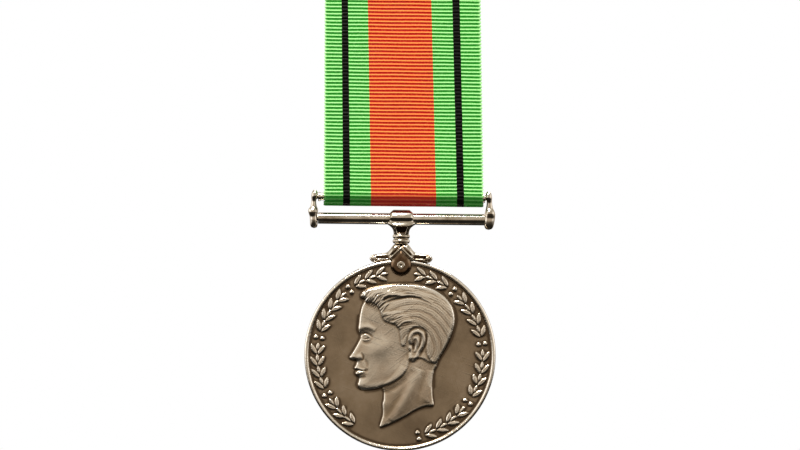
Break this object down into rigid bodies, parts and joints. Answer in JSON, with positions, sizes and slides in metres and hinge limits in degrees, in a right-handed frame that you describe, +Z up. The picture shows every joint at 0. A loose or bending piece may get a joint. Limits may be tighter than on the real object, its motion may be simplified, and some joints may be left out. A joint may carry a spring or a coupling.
{
  "type": "military service medal",
  "caption": "Struck white-metal service medal on a fixed straight-bar suspender, hung in a striped ribbed ribbon that is sewn round a pin-backed wearing brooch.",
  "frame": {"origin": "on the brooch pin's axis, in the medal's middle plane", "axes": "+Z up along the ribbon, +X to the right seen from the front, -Y towards the viewer of the obverse"},
  "size_m": [0.036, 0.0076, 0.098],
  "materials": {
    "struck_metal": "struck cupro-nickel, toned in the fields",
    "suspender_metal": "polished cupro-nickel",
    "brooch_metal": "nickel plate over sheet metal",
    "pin_wire": "drawn hard steel wire, polished",
    "ribbon_cloth": "ribbed moire-type silk, striped green, black and flame orange",
    "sewing_thread": "twisted thread"
  },
  "bodies": {
    "brooch": {"brooch_plate": "brooch_metal", "hinge_bracket": "brooch_metal", "hinge_rivet": "brooch_metal", "catch_tube": "brooch_metal", "ribbon_head": "ribbon_cloth", "ribbon_tail": "ribbon_cloth", "hem_stitches": "sewing_thread"},
    "pin": {"brooch_pin": "pin_wire"},
    "catch": {"catch_sleeve": "brooch_metal"},
    "ribbon": {"ribbon_front_fall": "ribbon_cloth", "ribbon_back_fall": "ribbon_cloth", "ribbon_fold": "ribbon_cloth"},
    "medal": {"top_rod": "suspender_metal", "suspension_bar": "suspender_metal", "left_end_lug": "suspender_metal", "right_end_lug": "suspender_metal", "bar_boss": "suspender_metal", "stem_collar": "suspender_metal", "claw_saddle": "suspender_metal", "claw_front_toe": "suspender_metal", "claw_back_toe": "suspender_metal", "claw_rivet": "suspender_metal", "medal_disc": "struck_metal"}
  },
  "joints": [
    {"name": "pin_opening", "type": "hinge", "parent": "brooch", "child": "pin", "pos_m": [-0.0131, 0, 0], "axis": [0, 0, 1], "range_deg": [0, 90]},
    {"name": "catch_turn", "type": "hinge", "parent": "brooch", "child": "catch", "pos_m": [0.01335, 0, 0], "axis": [1, 0, 0], "range_deg": [0, 120]},
    {"name": "ribbon_sway", "type": "hinge", "parent": "brooch", "child": "ribbon", "pos_m": [0, -0.0034, -0.0083], "axis": [1, 0, 0], "range_deg": [-45, 45]},
    {"name": "suspender_swing", "type": "hinge", "parent": "ribbon", "child": "medal", "pos_m": [0, -0.0034, -0.04607], "axis": [1, 0, 0], "range_deg": [-120, 120]}
  ]
}
